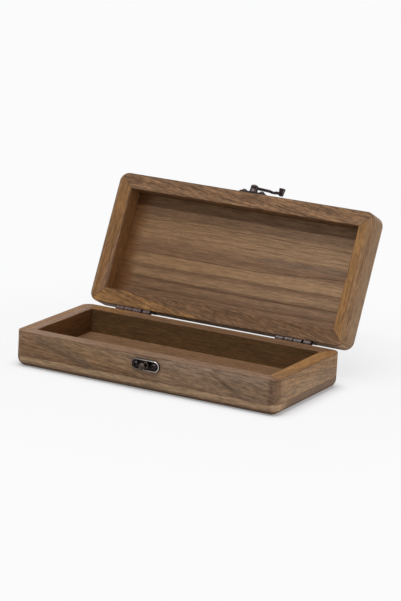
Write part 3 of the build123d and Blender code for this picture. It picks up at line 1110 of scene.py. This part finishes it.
for node, board in boards.items():
    board.data.materials.append(walnut("walnut_" + node, LOOKS[node]))
print("walnut finishes", len(LOOKS))

# %% [markdown]
# ## Bronze fittings
# The hinges, the latch and the catch are small pressed and turned pieces of brass, darkened to an antique
# bronze. Their shapes come from the frame: each is copied, its flat faces joined, and its outward edges
# rounded, because no real fitting has a knife edge. The rounded strip remembers that it is an edge, so the
# finish can wear through there.

# %% Round the edges of a fitting
SHARP_TURN = math.radians(32)
FLAT_TURN = math.radians(1.5)
FITTING_CREASE = math.radians(40)
ROUNDING_STEPS = 2
FINE_ROUND = 0.12 * MM
FULL_ROUND = 0.18 * MM
RIM_DEPTH = 0.12 * MM
SAME_PLACE = 0.0005 * MM
LEAST_RIM_WEAR_AND_HIGHLIGHT = 0.3


def round_edges(work, width):
    """Bevel the sharp outward edges of a mesh and mark the middle of each bevel as worn."""
    edges = []
    for edge in work.edges:
        outward = len(edge.link_faces) == 2 and edge.is_convex
        if outward and edge.calc_face_angle(0.0) > SHARP_TURN:
            edges.append(edge)
    settings = {"offset_type": "OFFSET", "profile": 0.5, "affect": "EDGES", "clamp_overlap": True}
    made = bmesh.ops.bevel(work, geom=edges, offset=width, segments=ROUNDING_STEPS, **settings)
    strip = set(made["faces"])
    wear = work.verts.layers.float.new("edge_wear")
    for vertex in work.verts:
        vertex[wear] = 1.0 if strip and all(face in strip for face in vertex.link_faces) else 0.0


def mark_rim(work, turn):
    """Mark the top of a plate's rim as worn, more so towards the right end, which is a painted highlight."""
    wear = work.verts.layers.float["edge_wear"]
    places = {vertex: turn @ vertex.co for vertex in work.verts}
    top = max(-place.y for place in places.values())
    left = min(place.x for place in places.values())
    right = max(place.x for place in places.values())
    for vertex, place in places.items():
        share = (place.x - left) / (right - left)
        # A rim that grows brighter towards its right end is a painted highlight
        rim_wear_and_highlight = LEAST_RIM_WEAR_AND_HIGHLIGHT + (1 - LEAST_RIM_WEAR_AND_HIGHLIGHT) * share**2
        vertex[wear] = rim_wear_and_highlight if -place.y > top - RIM_DEPTH else 0.0


def dress(node, name, width):
    """A copy of a fitting with joined flat faces and rounded edges, which then stands for it."""
    source = frame["nodes"][node]
    work = bmesh.new()
    work.from_mesh(source.data)
    bmesh.ops.remove_doubles(work, verts=work.verts, dist=SAME_PLACE)
    bmesh.ops.dissolve_limit(work, angle_limit=FLAT_TURN, verts=work.verts, edges=work.edges)
    bmesh.ops.recalc_face_normals(work, faces=work.faces)
    round_edges(work, width)
    # A plate's rim gets its wear and a painted highlight
    if node.endswith("_plate"):
        mark_rim(work, CLOSE if source["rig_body"] == "lid" else Matrix.Identity(4))
    mesh = bpy.data.meshes.new(name)
    work.to_mesh(mesh)
    work.free()
    return stand(name, mesh, FITTING_CREASE)


# %% Make the fittings
fittings = {}
for node, cad in frame["nodes"].items():
    if node in boards:
        continue
    fine = any(word in node for word in ("screw", "pin", "leaf"))
    piece = dress(node, "bronze_" + node, FINE_ROUND if fine else FULL_ROUND)
    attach(piece, cad["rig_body"])
    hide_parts(node)
    fittings[node] = piece
    print(piece.name, len(piece.data.polygons), "faces")

# %% [markdown]
# ## The bronze finish
# The brass was darkened in a bath and then rubbed, so it is cloudy all over and bright where it rubs. Each
# piece came out a little different. Pieces this small need no pictures: noise in space gives the clouds, the
# marks that the rounding left give the wear, a plate's rim brightens towards its right end as a painted
# highlight, and painted shade is laid between the knuckles of the hinges.


# %% Group: patina and worn edges
CLOUDS_PER_MM = 0.45
GRAINS_PER_MM = 5.0
SPOTS_PER_MM = 1.6
CLOUD_EDGE = (0.3, 0.7)
SPOT_EDGE = (0.35, 0.62)
LEAST_WORN = 0.45


def build_patina():
    """Where the metal is worn, and where a plate's rim has a painted highlight, how the patina clouds, and
    its fine grain.
    """
    tree, entry = new_group("antique_patina", {"Place": ZERO, "Wear": 0.6})
    place = scaled(tree, entry["Place"], 1 / MM)
    cloud = noise(tree, scaled(tree, place, CLOUDS_PER_MM), 3.0, 0.6)["Fac"]
    grain = noise(tree, scaled(tree, place, GRAINS_PER_MM), 3.0, 0.6)["Fac"]
    spots = noise(tree, scaled(tree, place, SPOTS_PER_MM), 2.0, 0.6)["Fac"]
    edge = add_node(tree, "ShaderNodeAttribute", attribute_name="edge_wear").outputs["Fac"]
    patchy = calc(tree, "MULTIPLY", edge, fade(tree, spots, *SPOT_EDGE, LEAST_WORN, 1.0))
    # On a plate's rim this also carries a painted highlight
    worn = calc(tree, "MULTIPLY", patchy, entry["Wear"])
    return close_group(tree, {"Wear And Highlight": worn, "Cloud": fade(tree, cloud, *CLOUD_EDGE), "Grain": grain})


PATINA = build_patina()


# %% Group: painted shade between the knuckles of a hinge
hinge_low, hinge_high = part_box("right_hinge_tray_leaf")
KNUCKLES = 4
KNUCKLE_PITCH = (hinge_high.x - hinge_low.x) / KNUCKLES
BARREL_REACH = 2.1 * MM
BARREL_END = 2.5 * MM
GAP_SHADE_EDGE = (0.6, 1.3)


def build_knuckle_gap_shade():
    """A mask of painted shade for the gaps between knuckles, which lie one pitch apart along the barrel."""
    inputs = {"Place": ZERO, "Half Width": 0.6 * MM}
    tree, entry = new_group("knuckle_grime", inputs)
    from_hinge = move(tree, "SUBTRACT", entry["Place"], tuple(hinge_place))
    from_axis = length_of(tree, move(tree, "MULTIPLY", from_hinge, ACROSS_ONLY))
    barrel = fade(tree, from_axis, BARREL_REACH, BARREL_END, 1.0, 0.0)
    along = calc(tree, "ABSOLUTE", parts_of(tree, entry["Place"])[0])
    steps = calc(tree, "DIVIDE", calc(tree, "SUBTRACT", along, hinge_low.x), KNUCKLE_PITCH)
    off_centre = calc(tree, "ABSOLUTE", calc(tree, "SUBTRACT", calc(tree, "FRACT", steps), 0.5))
    off_gap = calc(tree, "MULTIPLY", calc(tree, "SUBTRACT", 0.5, off_centre), KNUCKLE_PITCH)
    near = calc(tree, "DIVIDE", off_gap, entry["Half Width"])
    gap = fade(tree, near, *GAP_SHADE_EDGE, 1.0, 0.0)
    return close_group(tree, {"Mask": calc(tree, "MULTIPLY", barrel, gap)})


KNUCKLE_GAP_SHADE = build_knuckle_gap_shade()
print("knuckle pitch", round(KNUCKLE_PITCH / MM, 2), "mm")


# %% The bronze recipe
GAP_SHADE_COLOUR = tone(14, 11, 11)
PATINA_DEPTH = 0.02 * MM
PATINA_SPREAD = 0.25
BARE_METAL = 0.9


def bronze(name, deep, light, worn, wear, rough, grime=0.0):
    """Dark antique bronze: a cloudy patina over metal, brighter where edges have worn and where a plate's
    rim has a painted highlight, with painted shade between a hinge's knuckles.
    """
    material, tree, shader = new_material(name)
    place = add_node(tree, "ShaderNodeTexCoord").outputs["Object"]
    finish = use_group(tree, PATINA, {"Place": place, "Wear": wear})
    colour = mix(tree, finish["Cloud"], tone(*deep), tone(*light))
    # Worn edges, and on a plate's rim a painted highlight that rises towards its right end
    colour = mix(tree, finish["Wear And Highlight"], colour, tone(*worn))
    # Painted shade in the gaps between a hinge's knuckles
    if grime:
        gap_shade_mask = use_group(tree, KNUCKLE_GAP_SHADE, {"Place": place})["Mask"]
        colour = mix(tree, calc(tree, "MULTIPLY", gap_shade_mask, grime), colour, GAP_SHADE_COLOUR)
    tree.links.new(colour, shader.inputs["Base Color"])
    roughness = calc(tree, "MULTIPLY_ADD", finish["Grain"], PATINA_SPREAD, rough - 0.12)
    tree.links.new(roughness, shader.inputs["Roughness"])
    inputs = {"Strength": 0.35, "Distance": PATINA_DEPTH, "Height": finish["Grain"]}
    tree.links.new(add_node(tree, "ShaderNodeBump", inputs).outputs[0], shader.inputs["Normal"])
    shader.inputs["Metallic"].default_value = BARE_METAL
    return material


# Each bronze: the deep and light tones of its patina, its worn metal, wear, roughness and painted shade
# between knuckles
PLATE_BRONZE = bronze("antique_bronze", (24, 20, 19), (46, 38, 36), (236, 228, 222), 1.0, 0.2)
HOOK_BRONZE = bronze("antique_hook", (30, 24, 24), (58, 46, 45), (120, 100, 92), 0.7, 0.26)
STUD_BRONZE = bronze("antique_brown", (58, 48, 44), (96, 82, 74), (170, 150, 138), 0.8, 0.22)
RIVET_BRONZE = bronze("antique_grey", (46, 40, 41), (84, 75, 76), (126, 113, 110), 0.7, 0.24)
HINGE_BRONZE = bronze("antique_copper", (62, 54, 53), (100, 91, 89), (140, 128, 124), 0.8, 0.3, 0.9)
DULL_HINGE_BRONZE = bronze("antique_dull", (74, 60, 58), (98, 84, 82), (122, 106, 104), 0.5, 0.36, 0.35)
SCREW_BRONZE = bronze("antique_screws", (26, 22, 22), (56, 50, 48), (150, 136, 128), 0.7, 0.2)


# %% Give each fitting its bronze
def pick_bronze(node):
    """The finish of a fitting: each kind has darkened in its own way."""
    if "screw" in node:
        return SCREW_BRONZE
    if "hinge" in node:
        return DULL_HINGE_BRONZE if "left" in node else HINGE_BRONZE
    if "plate" in node:
        return PLATE_BRONZE
    if "rivet" in node:
        return RIVET_BRONZE
    return HOOK_BRONZE if "hook" in node else STUD_BRONZE


for node, piece in fittings.items():
    piece.data.materials.clear()
    piece.data.materials.append(pick_bronze(node))
    print(piece.name, "is", pick_bronze(node).name)

# %% [markdown]
# ## Table, backdrop and light
# The box stands on a pale table in front of a white backdrop. The table keeps the box's shadow, and the
# camera sees the same white beyond it. A strip light runs the length of the box, high and to the front, and
# draws the sharp shadow under the lid's upper rail. A broad soft light overhead does most of the rest, and
# a low card at the right lights the ends.

# %% The table
WHITE = tone(251, 251, 252)
TABLE_RADIUS = 1.6
TABLE_SEGMENTS = 96
TABLE_GAP = 0.05 * MM


def make_table():
    """A flat disc under the box, pale, and melting into the backdrop towards its rim."""
    mesh = bpy.data.meshes.new("studio_table")
    work = bmesh.new()
    bmesh.ops.create_circle(work, cap_ends=True, radius=TABLE_RADIUS, segments=TABLE_SEGMENTS)
    work.to_mesh(mesh)
    work.free()
    table = bpy.data.objects.new("studio_table", mesh)
    table.location.z = -TABLE_GAP
    scene.collection.objects.link(table)
    return table


# %% The table's paint
CONTACT_START = 4.0 * MM
CONTACT_REACH = 13 * MM
CONTACT_GLOW = 0.3
TABLE_GLOW = 0.8
BACKDROP_START = 0.12
BACKDROP_FULL = 0.32
SPECKLES_PER_METRE = 900.0


def table_finish():
    """Pale matt paint. For the camera it glows, and least beside the box, where its shadow is deepest."""
    material, tree, shader = new_material("studio_table")
    shader.inputs["Roughness"].default_value = 0.6
    shader.inputs["Specular IOR Level"].default_value = 0.0
    seen = add_node(tree, "ShaderNodeLightPath").outputs["Is Camera Ray"]
    place = add_node(tree, "ShaderNodeTexCoord").outputs["Object"]
    speckle = noise(tree, scaled(tree, place, SPECKLES_PER_METRE), 2.0)["Fac"]
    paint = mix(tree, speckle, tone(214, 214, 216), tone(218, 218, 219))
    tree.links.new(mix(tree, seen, paint, WHITE), shader.inputs["Base Color"])
    foot = (half_length - TRAY["edge_radius"], half_depth - TRAY["edge_radius"], 1.0)
    beyond = move(tree, "SUBTRACT", move(tree, "ABSOLUTE", place), foot)
    beside = length_of(tree, move(tree, "MAXIMUM", beyond))
    near = fade(tree, beside, CONTACT_START, CONTACT_START + CONTACT_REACH, CONTACT_GLOW, TABLE_GLOW)
    far = fade(tree, length_of(tree, place), BACKDROP_START, BACKDROP_FULL)
    share = calc(tree, "MULTIPLY", seen, between(tree, far, near, 1.0))
    glow = add_node(tree, "ShaderNodeEmission", {"Color": WHITE, "Strength": 1.0})
    surface = add_node(tree, "ShaderNodeMixShader", {0: share, 1: shader.outputs[0], 2: glow.outputs[0]})
    tree.links.new(surface.outputs[0], tree.nodes["Material Output"].inputs["Surface"])
    return material


table = make_table()
table.data.materials.append(table_finish())
print("table", TABLE_RADIUS, "m in radius")


# %% The backdrop and the room's fill light
FILL = 0.2


def make_backdrop():
    """A white world for the camera and for reflections, and a softer fill for everything else."""
    world = bpy.data.worlds.new("studio_backdrop")
    scene.world = world
    world.use_nodes = True
    tree = world.node_tree
    rays = add_node(tree, "ShaderNodeLightPath").outputs
    mirrored = calc(tree, "MAXIMUM", rays["Is Glossy Ray"], rays["Is Transmission Ray"])
    seen = calc(tree, "MAXIMUM", rays["Is Camera Ray"], mirrored)
    plain = add_node(tree, "ShaderNodeBackground", {"Color": (1.0, 1.0, 1.0, 1.0), "Strength": FILL})
    white = add_node(tree, "ShaderNodeBackground", {"Color": WHITE, "Strength": 1.0})
    surface = add_node(tree, "ShaderNodeMixShader", {0: seen, 1: plain.outputs[0], 2: white.outputs[0]})
    tree.links.new(surface.outputs[0], tree.nodes["World Output"].inputs["Surface"])


make_backdrop()
print("fill light", FILL)


# %% The lamps
def from_side(azimuth, elevation, distance):
    """A place at a turn from the front towards the right, a height angle and a distance."""
    turn = math.radians(azimuth)
    height = math.radians(elevation)
    flat = distance * math.cos(height)
    return flat * math.sin(turn), -flat * math.cos(turn), distance * math.sin(height)


# Each lamp: its place, its width and depth in metres, and the share of full light that it gives at the box
LAMPS = {
    "front_strip": (from_side(0, 59.8, 1.23), 1.1, 0.07, 0.36),
    "overhead_softbox": (from_side(0, 84, 1.4), 1.2, 0.8, 0.5),
    "side_card": (from_side(93, 3, 1.1), 0.5, 0.1, 0.36),
}
AIM = Vector((0.0, 0.0, 0.04))


def make_lamp(name, place, width, depth, share):
    """A rectangular lamp whose power is worked out from the light that it should give at the box."""
    data = bpy.data.lights.new(name, "AREA")
    data.shape = "RECTANGLE"
    data.size = width
    data.size_y = depth
    away = Vector(place) - AIM
    data.energy = share * math.pi**2 * away.length**2
    lamp = bpy.data.objects.new(name, data)
    lamp.location = place
    lamp.rotation_euler = away.to_track_quat("Z", "Y").to_euler()
    scene.collection.objects.link(lamp)
    return lamp


for name, values in LAMPS.items():
    made = make_lamp(name, *values)
    print(name, round(made.data.energy, 2), "W")
